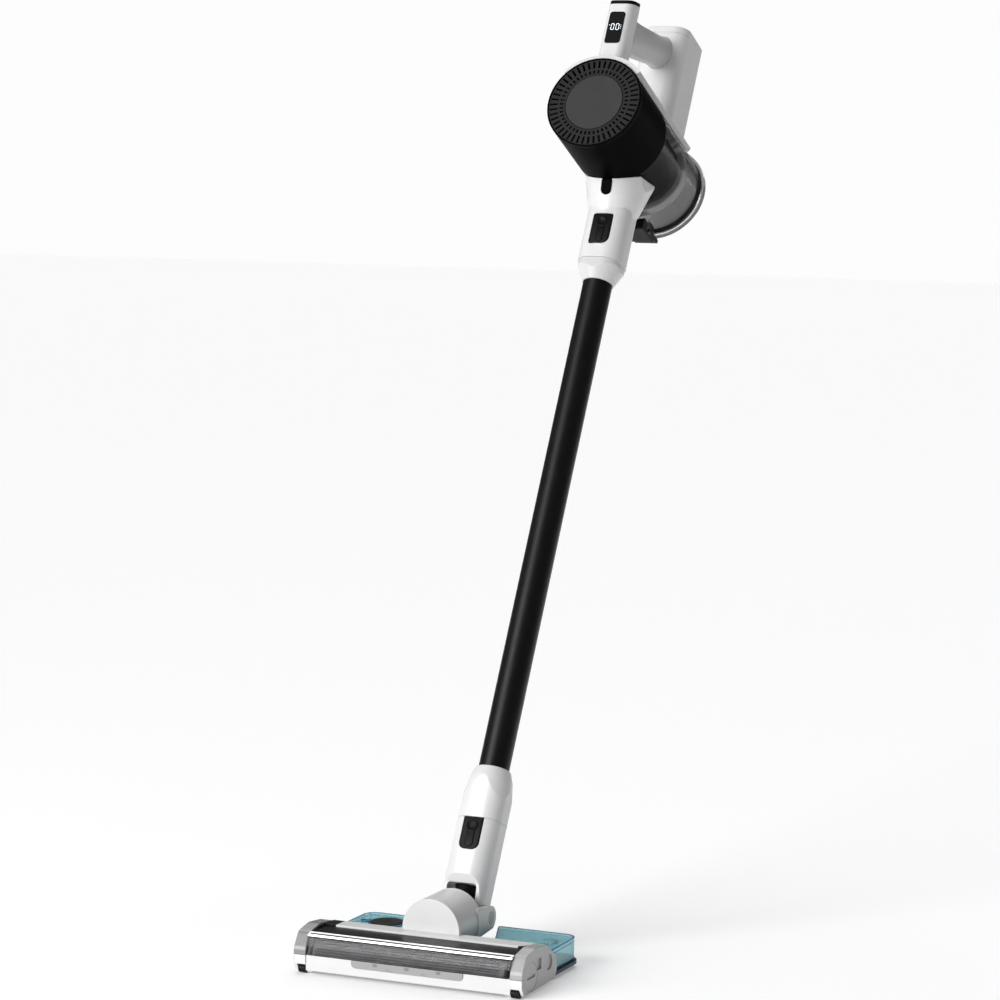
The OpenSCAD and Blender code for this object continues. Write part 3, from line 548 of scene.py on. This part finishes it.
def make_roller():
    """Soft roller: a pile sleeve with two tufted spirals that meet in a chevron."""
    bm = bmesh.new()
    radius, x0, x1 = 18.2, -113.0, 110.0
    around, along = 288, 150
    rings = []
    for k in range(along + 1):
        x = x0 + (x1 - x0) * k / along
        ring = []
        for i in range(around):
            turn = 2 * math.pi * i / around
            spiral = math.sin(5 * (turn + 0.022 * abs(x)))
            tuft = 0.45 * max(0.0, spiral) ** 0.5
            nap = 0.32 * noise.noise(Vector((x * 0.9, math.cos(turn) * 15, math.sin(turn) * 15)))
            r = min(radius - 0.35 + tuft + nap, 18.65)
            ring.append((x, r * math.cos(turn), r * math.sin(turn)))
        rings.append(ring)
    inner = [[(x, 9.5 * math.cos(2 * math.pi * i / around), 9.5 * math.sin(2 * math.pi * i / around))
              for i in range(around)] for x in (x1, x0)]
    skin(bm, rings + inner, loop=True)
    obj = piece("roller_nap", bm, HEAD @ Matrix.Translation((0, 24, 19.5)), "soft_nap", "brush")
    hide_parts("brush_sleeve")


# ---- window ----


def bar_across(bm, x0, x1, y, z, half_y, half_z, around=10):
    """A thin bar along X with an oval section."""
    rings = [[(x, y + half_y * math.cos(2 * math.pi * i / around),
               z + half_z * math.sin(2 * math.pi * i / around))
              for i in range(around)] for x in (x0, x1)]
    skin(bm, rings)


def make_window_lines():
    """Moulded ribs on the inside of the clear window, the dark seams above it and along its lip, and a dark bar of
    painted shadow along its top edge.
    """
    bm = bmesh.new()
    for y, z in ((3.9, 22.4), (3.3, 25.2), (3.4, 28.0), (4.0, 31.0), (5.1, 33.9), (6.9, 36.8)):
        bar_across(bm, -108, 105, y, z, 0.35, 0.3)
    piece("window_ribs", bm, HEAD, "flow_line", "floor_head")
    bm = bmesh.new()
    # painted shadow: this dark bar along the window's top edge stands in for the shade under the strip above it;
    # the next two bars are real seams
    bar_across(bm, -116, 116, 4.9, 39.9, 0.5, 0.45)
    bar_across(bm, -116, 116, 0.75, 20.95, 0.35, 0.22)
    bar_across(bm, -116, 116, 7.6, 42.95, 0.85, 0.5)
    piece("window_seams_and_shadow", bm, HEAD, "seam_and_shadow_dark", "floor_head")


# ---- mop pad ----


def make_mop_pad():
    """Microfibre pad: crowned at its rim, sewn in channels along its length, with a looped border."""
    bm = bmesh.new()
    half_w, y0, y1 = 123.0, 91.0, 163.0
    columns, rows = 164, 48
    mid_y = (y0 + y1) / 2
    grid = {}
    for level in (0, 1):
        for i in range(columns + 1):
            for j in range(rows + 1):
                u, v = 2 * i / columns - 1, 2 * j / rows - 1
                # squircle map rounds the corners
                x = half_w * u * math.sqrt(1 - 0.13 * v * v * u * u)
                y = mid_y + (y1 - y0) / 2 * v * math.sqrt(1 - 0.13 * u * u * v * v)
                edge = min(half_w * (1 - abs(u)), (y1 - y0) / 2 * (1 - abs(v)))
                crown = min(1.0, edge / 2.6)
                crown = math.sqrt(max(0.0, 1 - (1 - crown) ** 2))
                channel = 0.5 * math.exp(-((y - y0) % 12.0 - 6.0) ** 2 / 0.9)
                loops = 0.22 * noise.noise(Vector((x * 1.3, y * 1.3, level * 9.0)))
                half = 1.9 * (0.2 + 0.8 * crown) - (channel if edge > 5 else 0) + (loops if edge > 1 else 0)
                z = 2.0 + half if level else max(2.0 - half - 0.1, 0.0)
                grid[level, i, j] = bm.verts.new((x, y, min(z, 3.95)))
    for i in range(columns):
        for j in range(rows):
            bm.faces.new([grid[1, i, j], grid[1, i + 1, j], grid[1, i + 1, j + 1], grid[1, i, j + 1]])
            bm.faces.new([grid[0, i, j], grid[0, i, j + 1], grid[0, i + 1, j + 1], grid[0, i + 1, j]])
    border = ([(i, 0) for i in range(columns)] + [(columns, j) for j in range(rows)]
              + [(i, rows) for i in range(columns, 0, -1)] + [(0, j) for j in range(rows, 0, -1)])
    for (i, j), (k, l) in zip(border, border[1:] + border[:1]):
        bm.faces.new([grid[0, i, j], grid[0, k, l], grid[1, k, l], grid[1, i, j]])
    obj = piece("mop_cloth", bm, HEAD, "mop_fabric", "tank")
    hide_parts("mop_pad")


# ---- hose ----


def make_hose():
    """Ribbed hose between the swivel barrel and the neck."""
    bm = bmesh.new()
    pitch, low, high = 4.6, -9.0, 52.0
    outer, wall = 14.2, 1.2
    steps = int((high - low) * 2.2)
    profile = []
    for k in range(steps + 1):
        z = low + (high - low) * k / steps
        profile.append((outer - 0.75 + 0.75 * math.cos(2 * math.pi * z / pitch), z))
    profile += [(outer - 1.5 - wall, z) for z in (high, (high + low) / 2, low)]
    lathe(bm, profile, 72)
    obj = piece("hose_bellows", bm, STICK, "black_rubber", None)
    obj.parent = None
    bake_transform(obj)
    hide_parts("hose")


# ---- buttons ----


def button_plate(name, body, replaced, half_w, low, height, corners, back, depth, knob_s, knob_r):
    """A latch button: a plate with a rounded rim, a dished disc near its top and a rib below the disc."""
    bm = bmesh.new()

    def on_front(x, y, z):
        return (x, back - z, y)

    left, right, top = corners
    outline = (arc_points(half_w - right, low + right, right, -90, 0, 8)
               + arc_points(half_w - top, low + height - top, top, 0, 90, 5)
               + arc_points(-half_w + top, low + height - top, top, 90, 180, 5)
               + arc_points(-half_w + left, low + left, left, 180, 270, 8))
    slab(bm, outline, 0, depth, 0.9, on_front)
    face = depth
    rings = []
    for r, z in ((knob_r, face - 0.3), (knob_r, face + 0.4), (knob_r - 0.6, face + 0.8),
                 (knob_r - 1.5, face + 0.8), (knob_r - 2.2, face + 0.2), (knob_r - 4.6, face - 0.1),
                 (0.3, face - 0.2)):
        rings.append([on_front(p[0], p[1], z) for p in circle(r, 0, 48, (0, knob_s))])
    skin(bm, rings)
    rib = rounded_outline(knob_r * 0.72, low + 2.6, knob_s - knob_r * 0.6, knob_r * 0.5)
    slab(bm, rib, face - 0.3, face + 0.7, 0.7, on_front)
    obj = sharpen(piece(name, bm, STICK, "black_plastic", body), 50)
    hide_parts(replaced)


def make_buttons():
    button_plate("neck_latch_button", "neck_button", "neck_button", 11.5, 68, 36, (7.2, 7.2, 1.4), -21.2,
                 3.4, 94, 6.6)
    button_plate("unit_latch_button", "unit_button", "unit_button", 12, 801, 38, (3, 9, 2), -22.4,
                 3.3, 829, 6.4)


# ---- display ----


SEGMENTS = {  # name: (x, y, is it upright) in digit widths and half heights
    "top": (0, 1, False), "bottom": (0, -1, False),
    "upper_left": (-1, 0.5, True), "upper_right": (1, 0.5, True),
    "lower_left": (-1, -0.5, True), "lower_right": (1, -0.5, True),
}


def make_digits():
    """Two lit zeros and a small mark on each side."""
    bm = bmesh.new()
    front = -104.0 - 0.12
    centre_s, half_h, half_w, stroke = 1041.5, 3.9, 1.75, 0.32

    def bar(x, s, w, h):
        slab(bm, rounded_outline(w, s - h, s + h, min(w, h) * 0.9, steps=3), 0, 0.25, 0,
             lambda a, b, c: (x + a, front + 0.12 - c, b))

    for centre_x in (-3.1, 3.1):
        for x, y, upright in SEGMENTS.values():
            if upright:
                bar(centre_x + x * half_w, centre_s + y * half_h, stroke, half_h / 2 - 0.25)
            else:
                bar(centre_x + x, centre_s + y * half_h, half_w - 0.4, stroke)
    bar(-7.2, centre_s + 2.2, 0.5, 0.35)
    for s in (2.2, 0, -2.2):
        bar(7.0, centre_s + s, 0.5, 0.35)
    obj = piece("display_digits", bm, STICK, "digit_light", "unit", smooth=False)
    return obj


# ---- grip ----


def make_grip():
    """Handle tube that flows into the column and the battery housing with round fillets."""
    bm = bmesh.new()
    start = Vector((0, -80.0, 1043.5))
    end = Vector((0, 35.5, 1085.0))
    steps, around = 40, 56
    rings = []
    for k in range(steps + 1):
        t = k / steps
        centre = start.lerp(end, t)
        half_h = 23.5 + (19.5 - 23.5) * t
        half_w = 14.6
        near = math.exp(-(t * 9) ** 1.4)
        far = math.exp(-((1 - t) * 11) ** 1.4)
        half_h += 7.0 * near + 3.5 * far
        half_w += 0.8 * near + 2.2 * far
        ring = []
        for i in range(around):
            a = 2 * math.pi * i / around
            power = 0.92
            x = half_w * math.copysign(abs(math.cos(a)) ** power, math.cos(a))
            z = half_h * math.copysign(abs(math.sin(a)) ** power, math.sin(a))
            ring.append((x, centre.y, centre.z + z))
        rings.append(ring)
    skin(bm, rings)
    obj = piece("grip_shell", bm, STICK, "pale_grey_plastic", "unit")
    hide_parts("grip")


# ---- drum details ----


def make_disc_rim():
    bm = bmesh.new()
    face = 114.6
    lathe(bm, [(34.1, face), (35.6, face), (35.6, face + 1.1), (35.2, face + 1.5), (34.7, face + 1.5),
               (34.1, face + 1.1)], 128)
    piece("disc_rim", bm, DRUM, "black_plastic", "vent_cover")


def make_front_rim():
    """Rounded bezel round the vented face."""
    bm = bmesh.new()
    face = 116.4
    outline = [(55.5, face - 6), (57.0, face - 6)] + arc_points(55.4, face - 1.6, 1.6, 0, 90, 6)
    outline.append((54.9, face - 0.6))
    lathe(bm, outline, 128)
    piece("front_bezel", bm, DRUM, "black_satin", "unit")


def make_spine_rails():
    """Light-grey strips that edge the spine, with a dark joint under them."""
    for side, name in ((1, "spine_strip_right"), (-1, "spine_strip_left")):
        bm = bmesh.new()
        rings = []
        for f in (-75.5, -73.5, 109.5, 111.5):
            inset = 0.5 if f in (-75.5, 111.5) else 0.0
            ring = []
            for r, a in ((57.4, 49.4), (61.6 - inset, 49.4), (62.6 - inset, 48.9), (63.0 - inset, 48.0),
                         (57.4, 48.0)):
                angle = math.radians(90 - side * a)
                ring.append((r * math.cos(angle), r * math.sin(angle), f))
            rings.append(ring)
        skin(bm, rings)
        sharpen(piece(name, bm, DRUM, "pale_grey_plastic", "unit"))


def make_cyclone():
    """Ribbed mesh drum with its skirt, and the small boss beside it."""
    bm = bmesh.new()
    pitch, low, high = 1.9, -55.0, 21.8
    count = int((high - low) / pitch)
    profile = [(43.4, high), (43.4, low - 1.5), (45.0, low - 1.5)]
    for k in range(count):
        z = low + k * pitch
        profile += [(45.4, z), (45.4, z + pitch * 0.45), (43.9, z + pitch * 0.55), (43.9, z + pitch * 0.92)]
    profile += [(45.0, high)]
    lathe(bm, profile, 120)
    obj = sharpen(piece("cyclone_drum", bm, DRUM, "inner_grey_plastic", "cup"))
    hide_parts("cyclone_mesh")

    bm = bmesh.new()
    lathe(bm, [(44.8, -56.0), (50.8, -56.6), (52.0, -57.6), (52.0, -69.0), (51.2, -70.0), (49.0, -70.0),
               (49.0, -60.0), (44.8, -59.0)], 120)
    sharpen(piece("cyclone_skirt", bm, DRUM, "skirt_grey", "cup"))

    bm = bmesh.new()
    lathe(bm, [(0.2, -56.8), (43.2, -56.8), (43.2, -55.6), (0.2, -55.6)], 96)
    piece("cyclone_end", bm, DRUM, "inner_grey_plastic", "cup")

    boss = DRUM @ Matrix.Rotation(math.radians(-52), 4, "Z") @ Matrix.Translation((0, 0, -46))
    bm = bmesh.new()
    slab(bm, rounded_outline(6.5, -9, 4, 1.2), 0, 8, 0.8, lambda x, y, z: (x, 45 + z, y))
    rings = [[(p[0], 45 + z, p[1]) for p in circle(r, 0, 40, (0, 8))]
             for r, z in ((3.6, 0), (3.6, 8.6), (3.2, 9.2), (2.2, 9.4), (0.2, 9.4))]
    skin(bm, rings)
    sharpen(piece("cyclone_boss", bm, boss, "boss_grey", "cup"))


def make_lid_liner():
    """Frosted inner face of the cup's lid, with a raised ring and six stiffening ribs; its pale grey is partly
    painted light, lighter than its own colour to stand in for the light the cup's walls keep out.
    """
    bm = bmesh.new()
    lathe(bm, [(0.2, -110.0), (50.4, -110.0), (50.4, -108.4), (49.0, -107.6), (44.0, -108.0), (43.2, -109.0),
               (0.2, -109.2)], 96)
    for k in range(6):
        a = math.radians(60 * k + 30)
        rings = [[(r * math.cos(a) + w * math.sin(a), r * math.sin(a) - w * math.cos(a), z)
                  for w, z in ((-0.8, -109.4), (0.8, -109.4), (0.6, -107.8), (-0.6, -107.8))] for r in (10,
                                                                                                        43.6)]
        skin(bm, rings)
    sharpen(piece("lid_liner", bm, DRUM, "frosted_grey_painted_light", "lid"))


# ---- tank details ----


def tube_along(bm, points, radius, around=14, loop=False):
    """A round bar along a list of points."""
    points = [Vector(p) for p in points]
    rings = []
    count = len(points)
    for k, p in enumerate(points):
        ahead = points[(k + 1) % count] if loop or k < count - 1 else p
        behind = points[k - 1] if loop or k else p
        along = (ahead - behind).normalized()
        side = along.cross(Vector((0, 0, 1)))
        side = side.normalized() if side.length > 1e-4 else Vector((1, 0, 0))
        top = side.cross(along)
        rings.append([p + radius * (math.cos(2 * math.pi * i / around) * side
                                    + math.sin(2 * math.pi * i / around) * top) for i in range(around)])
    skin(bm, rings, loop=loop)


def make_tank_lines():
    """Blue beads that the clear tank shows along its edges, where its walls are thickest."""
    bm = bmesh.new()
    lo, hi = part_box("water_tank")
    half, back, top = hi.x / MM, (hi.y - HEAD_FRONT) / MM, hi.z / MM
    for side in (-1, 1):
        corner = arc_points(half - 14.2, back - 14.2, 14, 0, 90, 10)
        edge = [(half - 0.2, 94)] + corner + [(32.5, back - 0.2)]
        for z, r in ((top - 0.35, 0.55), (top - 4.6, 0.4), (9.6, 0.7)):
            tube_along(bm, [(side * x, y, z) for x, y in edge], r, around=10)
        tube_along(bm, [(side * 51.2, 90, top - 0.35), (side * 51.2, 114, top - 0.35),
                        (side * 32.5, back - 1, top - 0.35)], 0.5,
                   around=10)
        for x, y in ((half - 4.3, back - 4.3), (118.6, 93.4)):
            tube_along(bm, [(side * x, y, 9), (side * x, y, 20), (side * x, y, top - 0.4)], 0.5, around=10)
    piece("tank_lines", bm, HEAD, "tank_line", "tank")


def make_filler():
    """Rubber filler cap with a domed lip, its blue seat and the strap that keeps it."""
    lo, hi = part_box("filler_cap")
    centre = Vector(((lo.x + hi.x) / 2, (lo.y + hi.y) / 2, 0))
    at = Matrix.Translation(centre) @ Matrix.Scale(MM, 4)
    top = hi.z / MM
    bm = bmesh.new()
    lathe(bm, [(0.2, top - 0.9), (9.0, top - 0.9), (10.5, top - 0.2), (15.5, top), (17.3, top - 0.4),
               (18.0, top - 1.3),
               (17.6, top - 2.35), (13.7, top - 2.4), (13.7, top - 8.4), (0.2, top - 8.4)], 96)
    obj = piece("filler_plug", bm, at, "brown_rubber", "filler_cap")
    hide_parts("filler_cap")
    tank_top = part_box("water_tank")[1].z / MM
    bm = bmesh.new()
    lathe(bm, [(18.3, tank_top - 0.2), (20.6, tank_top - 0.2), (20.6, tank_top + 0.7), (20.1, tank_top + 1.2),
               (18.8, tank_top + 1.2), (18.3, tank_top + 0.7)], 96)
    piece("filler_seat", bm, at, "filler_blue", "tank")
    bm = bmesh.new()
    loop = [(-24.5 + 5.5 * math.cos(2 * math.pi * k / 28), -2 + 3.6 * math.sin(2 * math.pi * k / 28),
             tank_top + 0.9)
            for k in range(28)]
    tube_along(bm, loop, 0.9, loop=True)
    piece("filler_strap", bm, at, "filler_blue", "tank")


def make_flow_knob():
    """Small ribbed knob with a grip bar across it."""
    lo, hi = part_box("flow_knob")
    at = Matrix.Translation(((lo.x + hi.x) / 2, (lo.y + hi.y) / 2, 0)) @ Matrix.Scale(MM, 4)
    top = hi.z / MM
    bm = bmesh.new()
    around = 144
    rings = []
    for r, z, wave in ((4.7, top - 8.8, 0), (4.7, top - 3.6, 0), (8.2, top - 3.6, 0.25),
                       (8.6, top - 3.2, 0.35), (8.6, top - 1.4, 0.35), (8.0, top - 0.9, 0.2),
                       (5.0, top - 0.9, 0)):
        rings.append([((r + wave * math.cos(24 * a)) * math.cos(a),
                       (r + wave * math.cos(24 * a)) * math.sin(a), z)
                      for a in (2 * math.pi * i / around for i in range(around))])
    skin(bm, rings)
    slab(bm, rounded_outline(6.6, -1.5, 1.5, 1.4), top - 1.0, top, 0.5)
    obj = piece("flow_dial", bm, at, "tank_teal", "flow_knob")
    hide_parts("flow_knob")


make_roller()
make_window_lines()
make_mop_pad()
make_hose()
make_buttons()
make_digits()
make_grip()
make_disc_rim()
make_front_rim()
make_spine_rails()
make_cyclone()
make_lid_liner()
make_tank_lines()
make_filler()
make_flow_knob()
